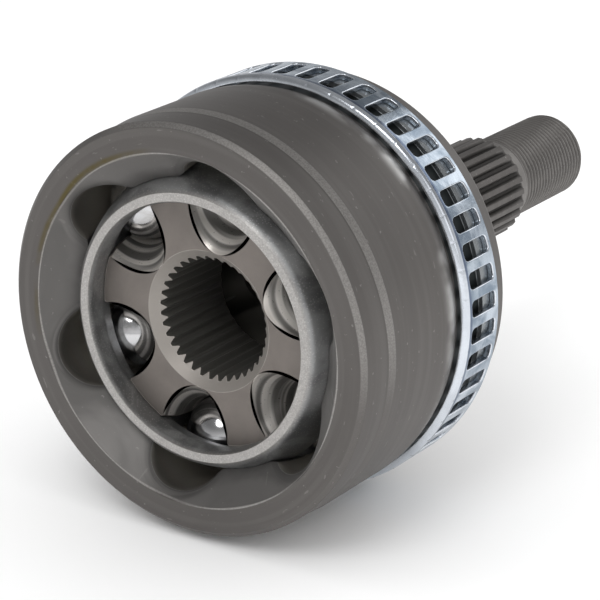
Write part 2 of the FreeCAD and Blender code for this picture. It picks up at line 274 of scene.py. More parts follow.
class Graph:
    """A node tree under construction, with short ways to add and join nodes."""

    def __init__(self, tree: bpy.types.NodeTree) -> None:
        """Takes over a tree and empties it."""
        self.tree = tree
        self.tree.nodes.clear()

    def join(self, value: object, socket: Socket) -> None:
        """Feeds a socket from another socket, or sets it to a number or a colour."""
        if isinstance(value, Socket):
            self.tree.links.new(value, socket)
        else:
            socket.default_value = (*value, 1.0) if isinstance(value, tuple) else value

    def add(self, kind: str, feed: dict[str | int, object] | None = None, **settings: str) -> bpy.types.Node:
        """Adds one node.

        Args:
            kind: Type of the node, without its first word.
            feed: Numbers, colours or sockets, by the name or the number of the input.
            settings: Properties of the node.

        Returns:
            The new node.
        """
        node = self.tree.nodes.new(f"ShaderNode{kind}")
        for name, setting in settings.items():
            setattr(node, name, setting)
        for name, value in (feed or {}).items():
            self.join(value, node.inputs[name])
        return node

    def math(self, operation: str, *values: object) -> Socket:
        """One arithmetic step on numbers or sockets."""
        return self.add("Math", dict(enumerate(values)), operation=operation).outputs[0]

    def times(self, *values: object) -> Socket:
        """The product of numbers or sockets."""
        product = values[0]
        for value in values[1:]:
            product = self.math("MULTIPLY", product, value)
        return product

    def line(self, value: object, gain: object, shift: object) -> Socket:
        """A value times a gain, plus a shift."""
        return self.math("MULTIPLY_ADD", value, gain, shift)

    def ramp(self, value: object, low: float, high: float) -> Socket:
        """0 below low, 1 above high and smooth between them."""
        feed = {"Value": value, "From Min": low, "From Max": high}
        return self.add("MapRange", feed, interpolation_type="SMOOTHSTEP").outputs["Result"]

    def split(self, place: Socket) -> list[Socket]:
        """The three parts of a vector."""
        return list(self.add("SeparateXYZ", {0: place}).outputs)


class Paint(Graph):
    """A material under construction, on object coordinates in metres."""

    def __init__(self, name: str) -> None:
        """Starts an empty material with one metal or paint shader."""
        self.material = bpy.data.materials.new(name)
        self.material.use_nodes = True
        super().__init__(self.material.node_tree)
        self.shader = self.add("BsdfPrincipled")
        self.add("OutputMaterial", {"Surface": self.shader.outputs["BSDF"]})
        self.place = self.add("TexCoord").outputs["Object"]
        self.x, self.y, self.z = self.split(self.place)

    @cached_property
    def radius(self) -> Socket:
        """Distance from the joint axis."""
        return self.math("SQRT", self.line(self.x, self.x, self.times(self.z, self.z)))

    def toward(self, across: float, up: float) -> Socket:
        """How far a point lies towards a direction square to the axis, as a share of its radius."""
        return self.math("DIVIDE", self.line(self.x, across, self.times(self.z, up)), self.radius)

    def attribute(self, name: str) -> Socket:
        """A number painted on the points of the mesh."""
        return self.add("Attribute", attribute_name=name).outputs["Fac"]

    def vector(self, x: object, y: object, z: object) -> Socket:
        """A vector from three numbers or sockets."""
        return self.add("CombineXYZ", {0: x, 1: y, 2: z}).outputs[0]

    def band(self, value: object, span: Span, soft: float = 0.00012) -> Socket:
        """1 inside a span, 0 outside it, with a soft edge at each end."""
        start, stop = (self.ramp(value, end - soft, end + soft) for end in span)
        return self.math("SUBTRACT", start, stop)

    def zone(self, depths: Span, radii: Span) -> Socket:
        """1 where depth and radius both lie inside their spans."""
        return self.times(self.band(self.y, depths), self.band(self.radius, radii))

    def noise(self, scale: float, detail: float, rough: float = 0.55, bend: float = 0.0,
              place: Socket | None = None) -> Socket:
        """Soft noise from 0 to 1, on object coordinates unless another place is given."""
        feed = {"Vector": self.place if place is None else place, "Scale": scale, "Detail": detail,
                "Roughness": rough, "Distortion": bend}
        return self.add("TexNoise", feed).outputs["Fac"]

    def tooling(self, marks: float, turn: float, detail: float, rough: float, bend: float = 0.0) -> Socket:
        """Noise that runs round the axis like tool marks, with no seam.

        Args:
            marks: Marks per metre, along the axis and across a face alike.
            turn: How soon a mark changes on its way round.
            detail: Finer layers of the noise.
            rough: Share of each finer layer.
            bend: How much the marks are bent.

        Returns:
            The noise, from 0 to 1.
        """
        depth = self.line(self.y, marks, self.times(self.radius, marks))
        x, z = (self.times(self.math("DIVIDE", part, self.radius), turn) for part in (self.x, self.z))
        return self.noise(1.0, detail, rough, bend, self.vector(x, depth, z))

    def mix(self, amount: object, first: object, second: object) -> Socket:
        """One colour going over into another."""
        return self.add("Mix", {0: amount, 6: first, 7: second}, data_type="RGBA").outputs[2]

    def coats(self, colour: object, *coats: tuple[object, object]) -> Socket:
        """A colour with further coats over it, each as its amount and its colour."""
        for amount, coat in coats:
            colour = self.mix(amount, colour, coat)
        return colour

    def bump(self, *layers: tuple[object, float, float]) -> Socket:
        """Small relief in layers, each as its height, its strength and its distance."""
        feed = {}
        for height, strength, distance in layers:
            feed.update({"Height": height, "Strength": strength, "Distance": distance})
            feed["Normal"] = self.add("Bump", feed).outputs["Normal"]
        return feed["Normal"]

    def finish(self, colour: object, rough: object, metal: float, relief: Socket | None = None,
               specular: float = 0.5) -> bpy.types.Material:
        """Feeds the shader and hands the material over."""
        feed = {"Base Color": colour, "Roughness": rough, "Metallic": metal, "Specular IOR Level": specular}
        if relief is not None:
            feed["Normal"] = relief
        for name, value in feed.items():
            self.join(value, self.shader.inputs[name])
        return self.material


def toned(colour: Colour, factor: float) -> Colour:
    """A colour made lighter or darker by a factor."""
    return tuple(factor * part for part in colour)


@dataclass(frozen=True)
class ForgedBell:
    """Dark phosphated steel: turned outside, milled flare, brown-black tracks, bare seat, oil stain, painted
    edge highlights and painted shade in its hollows.

    The spans are depths or radii in metres, and follow the sizes of the bell.
    """

    turned: Colour = (0.120, 0.112, 0.107)
    # colour of worn metal in the lathe bands, specks and scratches, and of the painted highlights on the
    # bell's edges
    worn_and_highlight: Colour = (0.330, 0.318, 0.305)
    # colour of lighter blotches: partly rubbed metal, partly a painted sheen on the lit side
    polish_and_sheen: Colour = (0.560, 0.555, 0.545)
    flare: Colour = (0.205, 0.197, 0.190)
    track: Colour = (0.155, 0.145, 0.130)
    # painted shade deep in the cavity, behind the joint centre
    cavity_shade: Colour = (0.125, 0.117, 0.105)
    deep: Colour = (0.420, 0.395, 0.350)
    # painted shade, near black, in the spline's gaps and the thread's grooves
    gap: Colour = (0.022, 0.020, 0.018)
    # painted shade on the groove under the tone ring, seen through its windows
    relief: Colour = (0.030, 0.035, 0.036)
    seat: Colour = (0.260, 0.275, 0.285)
    stain: Colour = (0.100, 0.078, 0.022)
    rough: float = 0.46
    step_depths: Span = (-0.0132, -0.0109)
    corner_depths: Span = (-0.0300, -0.0213)
    mouth_depths: Span = (-0.0300, -0.0216)
    flare_depths: Span = (-0.0300, -0.0150)
    rubbed_sheen_depths: Span = (0.0050, 0.0160)
    relief_depths: Span = (0.0168, 0.0259)
    seat_depths: Span = (0.0259, 0.0315)
    flare_radii: Span = (0.0, 0.0410)
    mouth_radii: Span = (0.0409, 0.0412)
    relief_radii: Span = (0.0400, 0.0476)
    seat_radii: Span = (0.0400, 0.0600)
    body_radii: Span = (0.0469, 0.0600)
    lit_side: tuple[float, float] = (0.57, 0.82)
    oil_bearing: float = 147.0
    oil_radii: Span = (0.0412, 0.0424)

    def skin(self, paint: Paint, cloud: Socket) -> Socket:
        """Colour of the turned outside, with the milled flare in front of the joint."""
        bands = paint.tooling(420.0, 0.6, 2.0, 0.5)
        milled = paint.tooling(1100.0, 1.8, 3.0, 0.55, 0.25)
        streaks = paint.mix(paint.ramp(milled, 0.38, 0.62), toned(self.flare, 0.70), self.flare)
        return paint.coats(self.turned, (paint.ramp(cloud, 0.3, 0.75), toned(self.turned, 1.14)),
                           (paint.times(paint.ramp(bands, 0.45, 0.7), 0.08), self.worn_and_highlight),
                           (paint.zone(self.flare_depths, self.flare_radii), streaks))

    def bright(self, paint: Paint, track: Socket, above: Socket, grit: Socket) -> Socket:
        """Painted highlights on the edges: the turned lines, stronger where light falls, the mouth's edge and
        the track lips.
        """
        lip = paint.math("SUBTRACT", paint.ramp(paint.attribute("track"), -0.40, -0.10), track)
        lines = [paint.band(paint.y, span) for span in (self.step_depths, self.corner_depths)]
        # the painted highlight on the turned lines is strongest on the side the light falls on
        lit = paint.line(paint.ramp(above, 0.35, 0.75), 0.85, 0.12)
        turned = paint.times(paint.math("ADD", *lines), lit, paint.band(paint.radius, self.body_radii))
        mouth = paint.times(paint.zone(self.mouth_depths, self.mouth_radii), 1.6)
        edges = paint.math("MAXIMUM", paint.math("MAXIMUM", paint.times(lip, 0.9), turned), mouth)
        return paint.times(edges, paint.line(paint.ramp(grit, 0.3, 0.7), 0.5, 0.4))

    def dust(self, paint: Paint) -> Socket:
        """How much pale specks and fine scratches show."""
        specks = paint.ramp(paint.noise(900.0, 2.0, 0.5), 0.70, 0.76)
        scratch = paint.ramp(paint.tooling(900.0, 14.0, 2.0, 0.4, 0.3), 0.71, 0.76)
        return paint.math("MAXIMUM", paint.times(specks, 0.45), paint.times(scratch, 0.3))

    def wet(self, paint: Paint, cloud: Socket) -> Socket:
        """How wet the surface is: a thin line of oil outside the mouth's edge, over one quarter."""
        bearing = math.radians(self.oil_bearing)
        quarter = paint.ramp(paint.toward(math.cos(bearing), math.sin(bearing)), 0.66, 0.86)
        wander = paint.math("ADD", paint.radius, paint.line(paint.noise(45.0, 3.0), 0.0016, -0.0008))
        line = paint.band(wander, self.oil_radii, 0.0005)
        return paint.times(quarter, line, paint.ramp(paint.y, -0.0222, -0.0224),
                           paint.ramp(cloud, 0.30, 0.55), 0.85)

    def material(self) -> bpy.types.Material:
        """Builds the finish of the bell.

        Returns:
            A material whose colour changes by painted zones and by place on the turned profile.
        """
        paint = Paint("phosphated_steel")
        marks = paint.tooling(5200.0, 2.0, 3.0, 0.6)
        cloud = paint.noise(38.0, 5.0, 0.6, 0.4)
        grit = paint.noise(2600.0, 3.0, 0.7)
        above = paint.toward(*self.lit_side)
        track = paint.ramp(paint.attribute("track"), -0.07, 0.07)
        seat = paint.zone(self.seat_depths, self.seat_radii)
        # lighter blotches near the shoulder: partly rubbed metal, partly a painted sheen that is stronger on
        # the side the light falls on
        rubbed_and_sheen = paint.times(paint.ramp(paint.y, 0.0090, 0.0135), paint.band(paint.y, self.rubbed_sheen_depths),
                             paint.ramp(paint.noise(62.0, 3.0, 0.5), 0.46, 0.62),
                             paint.line(paint.ramp(above, 0.2, 0.7), 0.65, 0.15))
        wall = paint.coats(self.track, (paint.ramp(paint.y, -0.0205, -0.0070), self.deep),
                           # painted shade deep in the cavity, past 2 mm behind the joint centre
                           (paint.ramp(paint.y, 0.0020, 0.0100), self.cavity_shade))
        colour = paint.coats(
            self.skin(paint, cloud), (rubbed_and_sheen, self.polish_and_sheen), (track, wall),
            # painted highlights on the edges, then pale specks and scratches
            (self.bright(paint, track, above, grit), self.worn_and_highlight), (self.dust(paint), self.worn_and_highlight),
            # painted shade on the groove under the ring, then the bare seat
            (paint.zone(self.relief_depths, self.relief_radii), self.relief), (seat, self.seat),
            # the threaded end painted lighter all over
            (paint.times(paint.ramp(paint.y, 0.1072, 0.1078), 0.45), self.worn_and_highlight),
            # painted shade in the spline's gaps and the thread's grooves, then the oil stain
            (paint.times(paint.attribute("gap"), 0.94), self.gap), (self.wet(paint, cloud), self.stain))
        rough = paint.line(marks, 0.10, paint.line(cloud, 0.14, self.rough - 0.05))
        rough = paint.line(seat, -0.25, paint.line(rubbed_and_sheen, -0.16, rough))
        relief = paint.bump((marks, 0.14, 0.00004), (grit, 0.14, 0.00003))
        return paint.finish(colour, rough, 0.85, relief)


@dataclass(frozen=True)
class ZincSheet:
    """Bright zinc plated sheet with a cold tint and soft ripples, painted highlights on its front bend and
    cut edges, and a painted shade band.
    """

    bright: Colour = (0.50, 0.56, 0.63)
    shade: Colour = (0.20, 0.25, 0.31)
    # colour of the painted highlights on the rounded front edge and the windows' edges
    rim: Colour = (0.80, 0.83, 0.88)
    # painted shade in a band just behind the front bend
    fold_shade: Colour = (0.10, 0.13, 0.20)
    rough: float = 0.22
    front_highlight_depths: Span = (0.0160, 0.0178)
    fold_shade_depths: Span = (0.0178, 0.0187)

    def material(self) -> bpy.types.Material:
        """Builds the finish of the tone ring."""
        paint = Paint("zinc_steel")
        cloud = paint.noise(130.0, 4.0, 0.6, 0.6)
        drawn = paint.tooling(1400.0, 9.0, 3.0, 0.6)
        grit = paint.noise(1500.0, 2.0, 0.6)
        colour = paint.coats(self.bright, (paint.ramp(cloud, 0.36, 0.66), self.shade),
                             # painted shade in a band just behind the front bend
                             (paint.times(paint.band(paint.y, self.fold_shade_depths), 0.8), self.fold_shade),
                             # painted highlight on the rounded front edge
                             (paint.times(paint.band(paint.y, self.front_highlight_depths), 0.7), self.rim),
                             # painted highlight on the windows' edges
                             (paint.times(paint.attribute("rim"), 0.8), self.rim))
        rough = paint.line(drawn, 0.16, self.rough - 0.06)
        relief = paint.bump((cloud, 0.35, 0.0002), (paint.math("ADD", drawn, grit), 0.12, 0.00004))
        return paint.finish(colour, rough, 1.0, relief)


@dataclass(frozen=True)
class BlastedCage:
    """Hardened cage: a light face and a darker outer sphere with blasted grain, with painted glints all over.
    """

    face: Colour = (0.455, 0.440, 0.425)
    sphere: Colour = (0.24, 0.243, 0.245)
    # colour of the painted glints
    glint: Colour = (0.75, 0.74, 0.72)
    rough: float = 0.44

    def material(self) -> bpy.types.Material:
        """Builds the finish of the cage."""
        paint = Paint("cage_steel")
        grain = paint.noise(2200.0, 3.0, 0.7)
        glint_cells = paint.add("TexVoronoi", {"Vector": paint.place, "Scale": 1700.0}).outputs["Distance"]
        cloud = paint.noise(70.0, 5.0, 0.65, 0.6)
        marks = paint.tooling(2600.0, 3.0, 3.0, 0.6)
        face = paint.mix(paint.ramp(grain, 0.35, 0.65), toned(self.face, 0.78), self.face)
        colour = paint.coats(self.sphere, (paint.ramp(cloud, 0.38, 0.62), toned(self.sphere, 1.7)),
                             (paint.attribute("face"), face),
                             # painted glints, small light specks standing in for the blasted grain's sparkle
                             (paint.times(paint.ramp(glint_cells, 0.34, 0.14), 0.30), self.glint))
        rough = paint.line(cloud, 0.2, self.rough - 0.1)
        relief = paint.bump((grain, 0.35, 0.00006), (marks, 0.10, 0.00003))
        return paint.finish(colour, rough, 0.9, relief)


@dataclass(frozen=True)
class ForgedRace:
    """Warm grey matt race with streaked ground tracks and a black broached bore."""

    face: Colour = (0.200, 0.178, 0.162)
    track: Colour = (0.86, 0.82, 0.77)
    bore: Colour = (0.135, 0.131, 0.119)
    sink: Colour = (0.34, 0.315, 0.29)
    rough: float = 0.50

    def material(self) -> bpy.types.Material:
        """Builds the finish of the inner race."""
        paint = Paint("race_steel")
        cloud = paint.noise(90.0, 5.0, 0.6, 0.4)
        grain = paint.noise(1700.0, 3.0, 0.7)
        marks = paint.tooling(3200.0, 2.5, 3.0, 0.6)
        lane = paint.vector(paint.times(paint.attribute("lane"), 0.05), paint.times(paint.y, 1000.0), 0.0)
        streak = paint.noise(0.33, 2.0, 0.5, place=lane)
        fine = paint.noise(2.4, 2.0, 0.6, place=lane)
        on_track = paint.ramp(paint.attribute("track"), 0.0, 0.15)
        cone = paint.attribute("cone")
        rim = paint.math("SUBTRACT", paint.ramp(cone, -0.02, 0.05), paint.ramp(cone, 0.08, 0.20))
        ground = paint.mix(paint.ramp(streak, 0.44, 0.57), toned(self.track, 0.24), self.track)
        sink = paint.mix(rim, self.sink, toned(self.sink, 1.5))
        inside = paint.mix(paint.ramp(cone, -0.03, 0.03), self.bore, sink)
        colour = paint.coats(self.face, (paint.ramp(cloud, 0.3, 0.75), toned(self.face, 0.82)),
                             (on_track, ground), (paint.ramp(paint.attribute("hole"), 0.45, 0.55), inside),
                             (paint.times(paint.attribute("edge"), 0.7), toned(self.sink, 1.9)))
        rough = paint.line(on_track, -0.20, paint.line(grain, 0.16, self.rough - 0.08))
        relief = paint.bump((grain, 0.20, 0.00004), (marks, 0.14, 0.00003),
                            (paint.times(fine, on_track), 0.20, 0.00006))
        return paint.finish(colour, rough, 0.6, relief)


@dataclass(frozen=True)
class PolishedBall:
    """Mirror polished bearing steel with a thin film of oil."""

    steel: Colour = (0.58, 0.58, 0.59)
    film: Colour = (0.44, 0.43, 0.42)
    rough: float = 0.12

    def material(self) -> bpy.types.Material:
        """Builds the finish of the balls."""
        paint = Paint("ball_steel")
        film = paint.noise(210.0, 4.0, 0.6, 0.8)
        colour = paint.mix(paint.ramp(film, 0.45, 0.75), self.steel, self.film)
        rough = paint.line(paint.ramp(film, 0.4, 0.8), 0.08, self.rough)
        relief = paint.bump((paint.noise(900.0, 3.0, 0.6), 0.03, 0.00003))
        return paint.finish(colour, rough, 1.0, relief)


# --------------------------------------------------------------------------- pieces

@dataclass
class Part:
    """One visible piece, the CAD node it stands for and the body it rides on."""

    node: str
    body: str
    slot: str
    material: bpy.types.Material

    def dress(self, thing: Thing) -> Thing:
        """Gives the piece its finish and its body, and hides the CAD node it stands for."""
        thing.data.materials.append(self.material)
        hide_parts(self.node)
        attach(thing, self.body)
        LOG.info("%s: %d faces", thing.name, len(thing.data.polygons))
        return thing


@dataclass
class Bell(Part):
    """Forged bell and stub: cavity with tracks, boot land, ring seat, dished back and spline."""

    tracks: Tracks = field(default_factory=Tracks)
    bore: float = 37.3
    flare_depth: float = 15.2
    mouth_depth: float = 22.5
    mouth_radius: float = 41.0
    mouth_wave: float = 0.30
    floor_depth: float = 31.5
    rim_chamfer: float = 1.2
    land_radius: float = 48.05
    land_end: float = -13.5
    step_end: float = -10.8
    body_radius: float = 48.5
    body_end: float = 10.3
    shoulder_end: float = 15.8
    shoulder_drop: float = 1.2
    relief_radius: float = 47.0
    relief_end: float = 26.0
    seat_radius: float = 48.2
    seat_end: float = 31.5
    rear_radius: float = 47.1
    rear_end: float = 35.9
    rear_round: float = 3.0
    hub_radius: float = 20.0
    hub_start: float = 56.9
    hub_end: float = 58.8
    tip_radius: float = 13.15
    tooth_depth: float = 1.1
    tooth_start: float = 64.8
    tooth_run_out: float = 3.5
    spline_end: float = 107.0
    spline_chamfer: float = 1.0
    teeth: int = 25
    tooth_clocking: float = 12.6
    gap_flat: float = 0.13
    gap_flank: float = 0.16
    end_radius: float = 8.0
    blends: tuple[float, ...] = (3.6, 2.6, 0.4)
    blend_depth: float = -6.0
    floor_rows: tuple[float, ...] = (0.0, 6.0, 13.0, 18.5)
    stub_rows: tuple[float, ...] = (62.0, 64.8, 65.4, 66.2, 67.2, 68.4, 80.0, 93.0)
    half_columns: int = 48
    search_angle: float = 16.0
    search_height: float = 14.0
    search_steps: int = 34
    edge_width: float = 0.045

    def bare_wall(self, depth: np.ndarray) -> np.ndarray:
        """Radius of the cavity with no tracks: a sphere, and a straight flare in front of it."""
        sphere = np.sqrt(np.clip(self.bore ** 2 - depth ** 2, 0.0, None))
        edge = math.sqrt(self.bore ** 2 - self.flare_depth ** 2)
        slope = (self.mouth_radius - edge) / (self.mouth_depth - self.flare_depth)
        flare = edge + slope * (-self.flare_depth - depth)
        return np.where(depth < -self.flare_depth, flare, sphere)

    def columns(self, depth: np.ndarray) -> np.ndarray:
        """Angles of the points in half a period, crowded at the edge of the track.

        Args:
            depth: Depth of each row, millimetres.

        Returns:
            One row of angles for each depth, even at the mouth and at the floor.
        """
        samples, fewest = 200, 40
        angle = np.linspace(0.0, math.radians(self.search_angle), samples)[None, :]
        open_part = self.tracks.from_tube(self.bare_wall(depth)[:, None], angle, depth[:, None]) < 0.0
        edge = angle[0][np.clip(open_part.sum(axis=1) - 1, fewest, None)][:, None]
        width, last = self.edge_width, math.pi / self.tracks.count
        part = self.half_columns // 3
        step = np.linspace(0.0, 1.0, part, endpoint=False)[None, :]
        crowded = np.concatenate([(edge - width) * step, edge - width + 2.0 * width * step,
                                  edge + width + (last - edge - width) * step,
                                  np.full_like(edge, last)], axis=1)
        even = np.linspace(0.0, last, 3 * part + 1)[None, :]
        share = np.clip((depth + self.mouth_depth) / 2.5, 0.0, 1.0)
        share = share * np.clip((self.floor_depth - depth) / 4.0, 0.0, 1.0)
        return even + (crowded - even) * share[:, None]

    def cavity(self) -> tuple[np.ndarray, np.ndarray, np.ndarray, np.ndarray]:
        """Rows of the cavity from its floor to the mouth.

        The wall lies where the smaller of two distances, to the bare wall and to the track's
        tube, is zero. The two are rounded into each other, widely at the mouth and hardly at
        all further in. The place is found by halving.

        Returns:
            Radius and angle, each a grid of rows by columns, depth of the rows, and how far
            each point lies inside the ground part of a track.
        """
        deep = np.linspace(self.floor_depth, -self.flare_depth, 40, endpoint=False)
        depth = np.concatenate([deep, np.linspace(-self.flare_depth, -self.mouth_depth, 30)])
        half = self.columns(depth)
        wave = np.clip((-self.flare_depth - depth) / (self.mouth_depth - self.flare_depth), 0.0, 1.0)
        base = self.bare_wall(depth)[:, None]
        base = base + self.mouth_wave * wave[:, None] * np.cos(half * self.tracks.count)
        places = [-self.mouth_depth, -self.flare_depth, self.blend_depth]
        blend, level = np.interp(depth, places, self.blends)[:, None], depth[:, None]
        low, high = base, base + self.search_height
        for _ in range(self.search_steps):
            middle = 0.5 * (low + high)
            hollow = smooth_min(middle - base, self.tracks.from_tube(middle, half, level), blend) < 0.0
            low = np.where(hollow, middle, low)
            high = np.where(hollow, high, middle)
        ground = (low - base) - self.tracks.from_tube(low, half, level) - 0.25 * blend
        return low, half, depth, ground

    def outline(self) -> np.ndarray:
        """Outside of the bell from the mouth to the end of the spline, as radius and depth.

        The shoulder is an arc that leaves the body smoothly, its centre level with its start,
        and the rear edge is a quarter circle.
        """
        run = self.shoulder_end - self.body_end
        bend = (run ** 2 + self.shoulder_drop ** 2) / (2.0 * self.shoulder_drop)
        fall = np.linspace(0.0, run, 8)
        shoulder = [(self.body_radius - bend + math.sqrt(bend ** 2 - d ** 2), self.body_end + d, 0.0)
                    for d in fall]
        turns = np.linspace(0.0, 0.5 * math.pi, 8)
        rear = [(self.rear_radius - self.rear_round * (1.0 - math.cos(t)),
                 self.rear_end + self.rear_round * math.sin(t), 0.0) for t in turns]
        teeth = [(self.tip_radius, depth, 0.0) for depth in
                 (*self.stub_rows, self.spline_end - self.spline_chamfer)]
        mouth = -self.mouth_depth
        corners = [
            (self.mouth_radius, mouth, 0.0),
            (self.land_radius - self.rim_chamfer, mouth, 0.3),
            (self.land_radius, mouth + self.rim_chamfer, 0.3),
            (self.land_radius, self.land_end, 0.5), (self.body_radius, self.step_end, 0.8),
            *shoulder,
            (self.relief_radius, self.shoulder_end, 0.1), (self.relief_radius, self.relief_end, 0.2),
            (self.seat_radius, self.relief_end, 0.2), (self.seat_radius, self.seat_end, 0.6),
            *rear,
            (self.hub_radius, self.hub_start, 1.2), (self.hub_radius, self.hub_end, 0.4),
            (self.tip_radius, self.hub_end, 0.5),
            *teeth,
            (self.tip_radius - self.spline_chamfer, self.spline_end, 0.15),
            (self.end_radius, self.spline_end, 0.0),
        ]
        return rounded(corners, 3)[1:]

    def spline(self, radius: np.ndarray, angle: np.ndarray, depth: np.ndarray) -> np.ndarray:
        """Radius of the stub with its teeth cut: each gap is a flat-bottomed dip between flanks."""
        phase = (angle - math.radians(self.tooth_clocking)) * self.teeth / TAU
        dip = gaps(phase, self.gap_flat, self.gap_flank)
        start = np.clip((depth - self.tooth_start) / self.tooth_run_out, 0.0, 1.0)
        floor = self.tip_radius - self.tooth_depth * dip * np.sqrt(start)
        on_stub = (depth > self.hub_end + 1.0) & (radius > self.end_radius + 1.0)
        return np.where(on_stub, np.minimum(radius, floor), radius)

    def build(self) -> Thing:
        """Builds the bell as one closed surface, from its floor round the mouth to the stub."""
        height, half, depth, ground = self.cavity()
        first = math.radians(self.tracks.clocking)
        angle = self.tracks.bearings(half) + first
        inside = around(self.tracks.mirrored(height), angle, depth[:, None])
        columns = angle.shape[1]
        even = first + np.arange(columns)[None, :] * TAU / columns
        floor = around(np.array(self.floor_rows)[:, None], even, self.floor_depth)
        profile = self.outline()
        line = self.spline(profile[:, :1], even, profile[:, 1:])
        outside = around(line, even, profile[:, 1:])
        cap = around(0.0, even, self.spline_end)
        points = np.concatenate([floor, inside, outside, cap])
        top, bottom = len(floor), len(floor) + len(depth)
        far, dark_start = 2.0, -7.0
        track = np.full(points.shape[:2], -far)
        track[:top] = far
        # from 7 mm in front of the joint centre the whole cavity takes the tracks' finish, which ends in
        # painted cavity shade
        shade = np.clip((depth - dark_start) / 2.0, -far, far)[:, None]
        track[top:bottom] = np.maximum(np.clip(self.tracks.mirrored(ground), -far, far), shade)
        # painted shade in the spline's gaps, as a share of the tooth depth
        gap = np.zeros(points.shape[:2])
        gap[bottom:-1] = (profile[:, :1] - line) / self.tooth_depth
        return self.dress(build_mesh("bell_housing_skin", points, 30.0, {"track": track, "gap": gap}))


@dataclass
class Thread(Part):
    """The threaded end of the stub, with a chamfer and a centre hole."""

    start: float = 105.5
    collar: float = 111.0
    end: float = 141.8
    radius: float = 10.95
    pitch: float = 1.5
    tooth_depth: float = 0.92
    gap_flat: float = 0.11
    gap_flank: float = 0.29
    fade_in: float = 2.2
    chamfer: float = 1.3
    hole: float = 3.0
    columns: int = 120
    rows_per_turn: int = 10

    def build(self) -> Thing:
        """Builds the thread.

        The radius is the outside radius less the depth of a trapezoid wave whose phase is depth
        over pitch less one turn of angle. The wave fades in behind a plain collar, and a cone
        trims it at the end.

        Returns:
            The closed thread piece, its start hidden inside the spline's end.
        """
        rows = int((self.end - self.start) / self.pitch * self.rows_per_turn)
        depth = np.linspace(self.start, self.end, rows)[:, None]
        angle = np.linspace(0.0, TAU, self.columns, endpoint=False)[None, :]
        dip = gaps(depth / self.pitch - angle / TAU, self.gap_flat, self.gap_flank)
        fade = np.clip((depth - self.collar) / self.fade_in, 0.0, 1.0)
        wall = self.radius - self.tooth_depth * dip * fade
        cone = self.radius - self.chamfer + (self.end - depth)
        wall = np.minimum(wall, np.maximum(cone, self.radius - self.chamfer))
        body = around(wall, angle, depth)
        back = around(0.0, angle, self.start)
        tip = self.end - self.hole * math.sqrt(3.0)
        face = [around(r, angle, d) for r, d in
                ((self.radius - self.chamfer - 0.15, self.end), (self.hole + 0.2, self.end),
                 (self.hole, self.end - 0.1), (self.hole * 0.5, 0.5 * (tip + self.end)), (0.0, tip))]
        points = np.concatenate([back, body, *face])
        # painted shade in the thread's grooves
        gap = np.zeros(points.shape[:2])
        gap[1:1 + len(body)] = np.clip((self.radius - wall) / 0.9, 0.0, 1.0) * fade * 0.65
        paint = {"track": np.full_like(gap, -2.0), "gap": gap}
        return self.dress(build_mesh("stub_thread", points, 40.0, paint))


